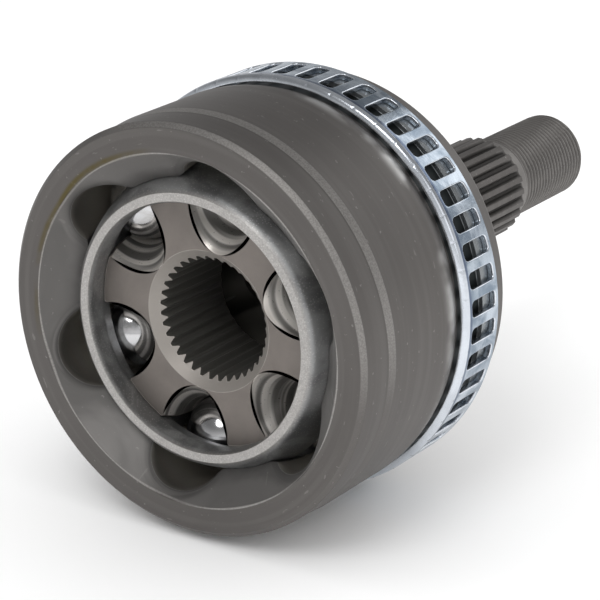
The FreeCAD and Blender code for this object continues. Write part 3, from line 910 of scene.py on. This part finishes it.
@dataclass
class WindowedBand(Part):
    """A band between two radius curves with a row of windows, built from equal cells.

    Each cell is a grid: one direction runs round the window's outline, the other from the
    cell's border over the outer face, down the window's wall and back under the inner face.
    """

    count: int
    clocking: float
    front: float
    rear: float
    width: float
    low: float
    high: float
    corner: float
    bevel: float
    per_side: int = 8
    per_corner: int = 6
    face_rows: int = 6

    def outer(self, depth: np.ndarray) -> np.ndarray:
        """Radius of the outer face at a depth."""
        raise NotImplementedError

    def inner(self, depth: np.ndarray) -> np.ndarray:
        """Radius of the inner face at a depth."""
        raise NotImplementedError

    def loops(self) -> tuple[np.ndarray, np.ndarray]:
        """The window's outline and the cell's border, point for point.

        Returns:
            The window as side distance and depth, the border as share of half a cell and depth.
        """
        half = 0.5 * self.width
        mid = 0.5 * (self.low + self.high)
        tall = 0.5 * (self.high - self.low)
        side = np.linspace(-1.0, 1.0, self.per_side, endpoint=False)
        turn = np.linspace(0.0, 0.5 * math.pi, self.per_corner, endpoint=False)
        window, border = [], []
        spin = ((1.0, 0.0), (0.0, 1.0), (-1.0, 0.0), (0.0, -1.0))
        for quarter, (ahead_x, ahead_y) in enumerate(spin):
            reach, span = (half, tall) if quarter % 2 == 0 else (tall, half)
            straight = span - self.corner
            frac = straight / span
            split = np.clip(turn / (0.25 * math.pi), 0.0, 2.0)
            arc = reach - self.corner + self.corner * np.cos(turn)
            out = np.concatenate([np.full_like(side, reach), arc])
            along = np.concatenate([side * straight, straight + self.corner * np.sin(turn)])
            past = self.corner / reach * np.clip(split - 1.0, 0.0, 1.0)
            edge_out = np.concatenate([np.ones_like(side), 1.0 - past])
            edge_along = np.concatenate([side * frac, frac + (1.0 - frac) * np.minimum(split, 1.0)])
            for line, x, y in ((window, out, along), (border, edge_out, edge_along)):
                line.append(np.stack([ahead_x * x - ahead_y * y, ahead_y * x + ahead_x * y], axis=1))
        hole, rim = np.concatenate(window), np.concatenate(border)
        hole[:, 1] += mid
        rim[:, 1] = mid + rim[:, 1] * np.where(rim[:, 1] < 0.0, mid - self.front, self.rear - mid)
        return hole, rim

    def cell(self) -> tuple[np.ndarray, np.ndarray]:
        """Radius-angle-depth points of one cell, and a mask of the rows on the band's faces."""
        hole, rim = self.loops()
        pitch = math.pi / self.count
        share = np.linspace(0.0, 1.0, self.face_rows)

        def ring(amount: float, grow: float, radius_of: Callable[[np.ndarray], np.ndarray],
                 sink: float) -> np.ndarray:
            """One row: from the border (0) to the window (1), the window grown by a bevel."""
            middle = np.array([0.0, 0.5 * (self.low + self.high)])
            out = hole - middle
            grown = hole + grow * out / np.linalg.norm(out, axis=1)[:, None]
            depth = rim[:, 1] + (grown[:, 1] - rim[:, 1]) * amount
            radius = radius_of(depth)
            at_hole = np.arcsin(np.clip(grown[:, 0] / radius_of(grown[:, 1]), -1.0, 1.0))
            angle = rim[:, 0] * pitch * (1.0 - amount) + at_hole * amount
            return np.stack([radius + sink, angle, depth], axis=1)

        rows = [ring(amount, self.bevel, self.outer, 0.0) for amount in share]
        for face, way, turns in ((self.outer, -1.0, (0.3, 0.65, 1.0)), (self.inner, 1.0, (1.0, 0.5, 0.0))):
            for angle in np.array(turns) * 0.5 * math.pi:
                rows.append(ring(1.0, self.bevel * (1.0 - math.sin(angle)), face,
                                 way * self.bevel * (1.0 - math.cos(angle))))
        rows += [ring(amount, self.bevel, self.inner, 0.0) for amount in share[-2::-1]]
        return np.stack(rows), rim

    def assemble(self, name: str, crease: float,
                 paint: Callable[[np.ndarray], dict[str, np.ndarray]]) -> Thing:
        """Repeats the cell round the axis and closes the band's two ends.

        Args:
            name: Name of the piece.
            crease: Angle in degrees above which an edge stays sharp.
            paint: Works out the painted numbers from the points.

        Returns:
            The closed band.
        """
        grid, rim = self.cell()
        rows, columns, _ = grid.shape
        faces = quad_grid(rows, columns)
        column = np.arange(columns)
        following = (column + 1) % columns
        ends = np.isclose(rim[:, 1], self.front) & np.isclose(rim[following, 1], self.front)
        ends |= np.isclose(rim[:, 1], self.rear) & np.isclose(rim[following, 1], self.rear)
        last = (rows - 1) * columns
        closing = np.stack([last + column, last + following, following, column], axis=1)[ends]
        faces = np.concatenate([faces, closing])
        turn = math.radians(self.clocking) + np.arange(self.count) * TAU / self.count
        points = around(grid[..., 0], grid[..., 1] + turn[:, None, None], grid[..., 2]).reshape(-1, 3)
        shift = (np.arange(self.count) * rows * columns)[:, None, None]
        quads = (faces[None] + shift).reshape(-1, 4)
        return self.dress(build_mesh(name, points, crease, paint(points), quads))


@dataclass
class ToneRing(WindowedBand):
    """Pressed ring of zinc plated sheet with a rounded front edge."""

    seat: float = 48.2
    wall: float = 1.6
    bend: float = 1.44
    count: int = 48
    clocking: float = 86.25
    front: float = 16.4
    rear: float = 30.0
    width: float = 3.9
    low: float = 18.9
    high: float = 28.9
    corner: float = 1.2
    bevel: float = 0.28
    face_rows: int = 8

    def outer(self, depth: np.ndarray) -> np.ndarray:
        """Outer face: a cylinder that bends in towards the front edge along a quarter circle."""
        short = np.clip(self.front + self.bend - depth, 0.0, self.bend)
        return self.seat + self.wall - self.bend + np.sqrt(self.bend ** 2 - short ** 2)

    def inner(self, depth: np.ndarray) -> np.ndarray:
        """Inner face: the cylinder that grips the seat."""
        return np.full_like(depth, self.seat)

    def build(self) -> Thing:
        """Builds the tone ring."""
        def zones(points: np.ndarray) -> dict[str, np.ndarray]:
            """Rim: the rounded edge of each window, which lies just inside the outer face and takes a painted
            highlight.
            """
            below = self.outer(points[:, 1]) - np.hypot(points[:, 0], points[:, 2])
            inner = (points[:, 1] > self.low - 0.4) & (below > 0.02) & (below < self.bevel + 0.01)
            return {"rim": inner.astype(float)}
        return self.assemble("tone_ring_sheet", 38.0, zones)


@dataclass
class Cage(WindowedBand):
    """Cage between two spheres, with straight lips and a window for each ball."""

    sphere: float = 37.2
    wall: float = 4.9
    lip: float = 29.0
    edge: float = 0.4
    count: int = 6
    clocking: float = 21.4
    front: float = -19.2
    rear: float = 19.2
    width: float = 22.06
    low: float = -9.528
    high: float = 9.528
    corner: float = 3.0
    bevel: float = 0.35
    per_side: int = 24
    per_corner: int = 10
    face_rows: int = 14

    def outer(self, depth: np.ndarray) -> np.ndarray:
        """Outer face: a sphere about the joint centre, with the corner at each end rounded."""
        near = np.clip((np.abs(depth) - (self.rear - 0.5)) / 0.5, 0.0, 1.0)
        return np.sqrt(self.sphere ** 2 - depth ** 2) - 0.5 * (1.0 - np.sqrt(1.0 - near ** 2))

    def inner(self, depth: np.ndarray) -> np.ndarray:
        """Inner face: a sphere, and the lips where they stand further in."""
        near = np.clip((np.abs(depth) - (self.rear - self.edge)) / self.edge, 0.0, 1.0)
        hollow = np.sqrt((self.sphere - self.wall) ** 2 - depth ** 2)
        lip = self.lip + self.edge * (1.0 - np.sqrt(1.0 - near ** 2))
        return np.maximum(hollow, lip)

    def build(self) -> Thing:
        """Builds the cage."""
        def zones(points: np.ndarray) -> dict[str, np.ndarray]:
            """Face: the flat ends and the lips, as against the sphere and the windows."""
            return {"face": (np.abs(points[:, 1]) > self.rear - 0.25).astype(float)}
        return self.assemble("ball_cage_shell", 34.0, zones)


@dataclass
class Race(Part):
    """Inner race: a ball with flat faces, six tracks, a countersink and a splined bore."""

    tracks: Tracks = field(default_factory=Tracks)
    sphere: float = 32.2
    half_width: float = 13.0
    teeth: int = 36
    root_radius: float = 14.7
    tooth_height: float = 1.05
    tip_flat: float = 0.04
    tooth_flank: float = 0.32
    countersink: float = 1.9
    rear_chamfer: float = 0.8
    edge_round: float = 0.7
    bevel: float = 0.08
    half_columns: int = 48
    flank_columns: int = 26
    corner_columns: int = 8

    def section(self, depth: float, inset: float) -> np.ndarray:
        """Half a period of the race's outline at a depth, from a track's middle to a land's.

        The track's floor at a side distance t lies where the distance to the centre of the
        track's arc is the path radius less the square root of section squared less t squared.
        Beyond the widest point the wall runs straight out to the sphere, and the corner there
        is rounded by a curve of the second order.

        Args:
            depth: Depth of the section along the joint axis.
            inset: Amount taken off all round, for the rounding at the two faces.

        Returns:
            Radius and angle of each point.
        """
        tube, path = self.tracks.radius, self.tracks.path
        land = math.sqrt(self.sphere ** 2 - min(abs(depth), self.half_width) ** 2)
        side = tube * np.sin(np.linspace(0.0, 0.5 * math.pi, 200))
        reach = (path - np.sqrt(np.clip(tube ** 2 - side ** 2, 0.0, None))) ** 2
        plane = np.sqrt(reach - (depth - self.tracks.offset) ** 2)
        top = np.linspace(plane[-1], math.sqrt(land ** 2 - tube ** 2), 60) if plane[-1] < land else plane[-1:]
        plane = np.concatenate([plane, top])
        side = np.concatenate([side, np.full(len(top), tube)])
        inside = np.hypot(plane, side) < land
        plane, side = plane[inside], side[inside]
        length = np.concatenate([[0.0], np.cumsum(np.hypot(np.diff(plane), np.diff(side)))])
        stop = length[-1] - self.edge_round
        sample = stop * (1.0 - (1.0 - np.linspace(0.0, 1.0, self.flank_columns)) ** 1.3)
        flank = np.stack([np.interp(sample, length, plane), np.interp(sample, length, side)], axis=1)
        corner = np.array([plane[-1], side[-1]])
        turn = math.atan2(corner[1], corner[0])
        landing = turn + self.edge_round / land
        after = land * np.array([math.cos(landing), math.sin(landing)])
        step = np.linspace(0.0, 1.0, self.corner_columns + 1)[1:, None]
        bend = (1 - step) ** 2 * flank[-1] + 2 * step * (1 - step) * corner + step ** 2 * after
        left = self.half_columns + 1 - self.flank_columns - self.corner_columns
        rest = np.linspace(landing, math.pi / self.tracks.count, left + 1)[1:]
        crown = land * np.stack([np.cos(rest), np.sin(rest)], axis=1)
        line = np.concatenate([flank, bend, crown])
        radius = np.hypot(line[:, 0], line[:, 1]) - inset
        return np.stack([radius, np.arctan2(line[:, 1], line[:, 0])], axis=1)

    def bore(self, turn: np.ndarray) -> tuple[np.ndarray, np.ndarray, np.ndarray]:
        """Rows of the splined bore from its rear end to its mouth.

        The wall is the larger of the toothed line and the two cones that open its ends.

        Args:
            turn: Angles of the points in a row.

        Returns:
            Radius and depth, each a grid, and how far each point of a cone stands off the teeth.
        """
        half, deep = self.half_width, self.countersink + self.tooth_height
        rear = np.linspace(half, half - self.rear_chamfer - self.tooth_height - 0.1, 7)
        front = np.linspace(-half + deep + 0.2, -half, 22)
        body = np.linspace(rear[-1], front[0], 6)[1:-1]
        level = np.concatenate([rear, body, front])[:, None]
        teeth = gaps(turn * self.teeth / TAU, self.tip_flat, self.tooth_flank)
        wall = self.root_radius - self.tooth_height * teeth
        cone = np.maximum(self.root_radius + self.countersink - (level + half),
                          self.root_radius + self.rear_chamfer - (half - level))
        return np.maximum(wall, cone), level + np.zeros_like(turn), cone - wall

    def build(self) -> Thing:
        """Builds the race as one closed ring of rows: bore, front face, outside and rear face."""
        half, bevel = self.half_width, self.bevel
        turns = np.array([0.0, 0.3, 0.6, 1.0]) * 0.5 * math.pi
        rear = [(half - bevel * (1 - math.sin(t)), bevel * (1 - math.cos(t))) for t in turns]
        middle = [(d, 0.0) for d in np.linspace(-half + bevel, half - bevel, 24)[1:-1]]
        levels = [*((-depth, inset) for depth, inset in rear[::-1]), *middle, *rear]
        grid = np.stack([self.section(depth, inset) for depth, inset in levels])
        radius, angle = self.tracks.mirrored(grid[..., 0]), self.tracks.bearings(grid[..., 1])
        period = TAU / self.tracks.count
        lane = ((angle + 0.5 * period) % period - 0.5 * period) * radius
        depths = np.array([depth for depth, _ in levels])[:, None] + np.zeros_like(angle)
        even = np.arange(angle.shape[1]) * TAU / angle.shape[1]
        bore_radius, bore_depth, cone = self.bore(even)

        def face(inner: float, row: int, shares: Sequence[float], depth: float) -> list[np.ndarray]:
            """Rows from the bore's edge to the outside: radius, angle and depth between the two."""
            return [np.stack(np.broadcast_arrays(inner + (radius[row] - inner) * share,
                                                 even + (angle[row] - even) * share, depth))
                    for share in shares]

        spread = (0.02, 0.2, 0.5, 0.8, 0.985)
        flat = face(self.root_radius + self.countersink, 0, spread, -half)
        back = face(self.root_radius + self.rear_chamfer, -1, (*spread[::-1], 0.0), half)
        hole = np.stack(np.broadcast_arrays(bore_radius, even, bore_depth), axis=1)
        outside = np.stack([radius, angle, depths], axis=1)
        rows = np.concatenate([hole, np.stack(flat), outside, np.stack(back)])
        points = around(rows[:, 0], rows[:, 1] + math.radians(self.tracks.clocking), rows[:, 2])
        start, stop = len(hole) + len(flat), len(hole) + len(flat) + len(outside)
        zones = {key: np.zeros(points.shape[:2]) for key in ("hole", "cone", "track", "lane", "edge")}
        zones["hole"][:len(hole)] = 1.0
        zones["cone"][:len(hole)] = np.clip(cone, -1.0, 1.0)
        zones["track"][:] = -1.0
        below = self.sphere - 0.45 - np.hypot(radius, depths)
        zones["track"][start + 3:stop - 3] = np.clip(below[3:-3], -1.0, 1.0)
        zones["lane"][start:stop] = lane
        zones["edge"][start:start + 4] = 1.0
        return self.dress(build_mesh("inner_race_star", points, 34.0, zones))


@dataclass
class Ball(Part):
    """One ball, seated in its tracks."""

    tracks: Tracks = field(default_factory=Tracks)
    number: int = 1
    rows: int = 49
    columns: int = 96

    def build(self) -> Thing:
        """Builds the ball: radius times the sine and cosine of height, turned about its own axis."""
        bearing = math.radians(self.tracks.clocking) + (self.number - 1) * TAU / self.tracks.count
        centre = self.tracks.pitch_radius * np.array([math.cos(bearing), 0.0, math.sin(bearing)])
        height = np.linspace(0.0, math.pi, self.rows)[:, None]
        angle = np.linspace(0.0, TAU, self.columns, endpoint=False)[None, :]
        wide = self.tracks.ball_radius * np.sin(height)
        points = around(wide, angle, self.tracks.ball_radius * np.cos(height)) + centre
        return self.dress(build_mesh(f"{self.node}_steel", points, 60.0))


# --------------------------------------------------------------------------- studio

class Lamp(Enum):
    """Soft lamps: place, aim, width and power."""

    KEY = ((0.15, -0.65, 0.75), (0.0, 0.0, 0.0), 0.45, 2.2)
    FILL = ((0.75, -0.35, 0.45), (0.0, 0.0, 0.0), 0.60, 0.7)
    BACK = ((0.25, 0.90, 0.45), (0.0, 0.05, 0.0), 0.60, 1.2)


@dataclass
class Studio:
    """Pale floor, pale surroundings, soft lamps and the camera."""

    floor_level: float
    camera_place: tuple[float, float, float] = (0.32465, -0.45124, 0.20686)
    camera_aim: tuple[float, float, float] = (-0.5294, 0.7741, -0.3471)
    lens: float = 156.5
    floor_colour: Colour = (0.97, 0.97, 0.97)
    air: float = 1.0
    horizon: float = 0.80
    overhead: float = 0.30
    left_shade: float = 0.35
    left_side: tuple[float, float] = (-0.82, -0.57)

    def floor(self) -> Thing:
        """Builds the floor: one wide plane that shows almost white and keeps the shadow."""
        reach = 4.0
        corners = np.array([[-reach, -reach], [reach, -reach], [reach, reach], [-reach, reach]])
        points = np.column_stack([corners, np.full(4, self.floor_level)])
        mesh = bpy.data.meshes.new("studio_floor")
        mesh.from_pydata(points.tolist(), [], [(0, 1, 2, 3)])
        thing = link("studio_floor", mesh)
        paint = Paint("studio_paper")
        colour = paint.mix(paint.times(paint.noise(3.0, 2.0, 0.5), 0.04), self.floor_colour,
                           toned(self.floor_colour, 0.98))
        mesh.materials.append(paint.finish(colour, 0.9, 0.0, specular=0.1))
        thing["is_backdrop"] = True
        return thing

    def surroundings(self) -> None:
        """Pale surroundings: white to the camera, and to metal a bright horizon below a grey ceiling."""
        world = bpy.data.worlds.new("studio_air")
        bpy.context.scene.world = world
        world.use_nodes = True
        graph = Graph(world.node_tree)
        x, y, z = graph.split(graph.add("TexCoord").outputs["Generated"])
        height = graph.line(graph.ramp(z, 0.10, 0.55), self.overhead - self.horizon, self.horizon)
        across, along = self.left_side
        left = graph.ramp(graph.line(x, across, graph.times(y, along)), 0.0, 0.9)
        glow = graph.times(height, graph.line(left, -self.left_shade, 1.0))
        rays = graph.add("LightPath").outputs
        plain = graph.math("SUBTRACT", 1.0, rays["Is Glossy Ray"])
        strength = graph.line(plain, self.air, graph.times(rays["Is Glossy Ray"], glow))
        strength = graph.math("MAXIMUM", strength, rays["Is Camera Ray"])
        air = graph.add("Background", {"Color": (1.0, 1.0, 1.0), "Strength": strength})
        graph.add("OutputWorld", {"Surface": air.outputs[0]})

    def lamps(self) -> None:
        """Hangs the soft lamps."""
        for lamp in Lamp:
            place, aim, size, power = lamp.value
            data = bpy.data.lights.new(f"lamp_{lamp.name.lower()}", "AREA")
            data.shape = "DISK"
            data.size = size
            data.energy = power
            thing = link(data.name, data)
            thing.location = place
            thing.rotation_euler = (Vector(aim) - Vector(place)).to_track_quat("-Z", "Y").to_euler()

    def camera(self) -> None:
        """Places the camera."""
        data = bpy.data.cameras.new("studio_camera")
        data.lens = self.lens
        data.sensor_width = 36.0
        data.clip_start = 0.01
        data.clip_end = 50.0
        thing = link("studio_camera", data)
        thing.location = self.camera_place
        thing.rotation_euler = Vector(self.camera_aim).to_track_quat("-Z", "Y").to_euler()
        bpy.context.scene.camera = thing

    def build(self) -> None:
        """Builds the studio."""
        self.floor()
        self.surroundings()
        self.lamps()
        self.camera()
        bpy.context.scene.view_settings.view_transform = "Standard"


def main() -> None:
    """Builds every piece round the frame, then the studio."""
    logging.basicConfig(level=logging.INFO, format="%(name)s %(message)s")
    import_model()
    cad_box = [list(map(float, corner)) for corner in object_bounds()]
    steel = ForgedBell().material()
    tracks = Tracks()
    Bell("bell_housing", "bell", "phosphated_steel", steel, tracks).build()
    Thread("bell_housing", "bell", "phosphated_steel", steel).build()
    ToneRing("tone_ring", "bell", "zinc_steel", ZincSheet().material()).build()
    Cage("ball_cage", "ball_cage", "cage_steel", BlastedCage().material()).build()
    Race("inner_race", "inner_race", "race_steel", ForgedRace().material(), tracks).build()
    polish_and_sheen = PolishedBall().material()
    for number in range(1, tracks.count + 1):
        name = f"ball_{number}"
        Ball(name, name, "ball_steel", polish_and_sheen, tracks, number).build()
    Studio(floor_level=float(cad_box[0][2]) - 0.0002).build()
    bpy.context.view_layer.update()


if __name__ == "__main__":
    main()
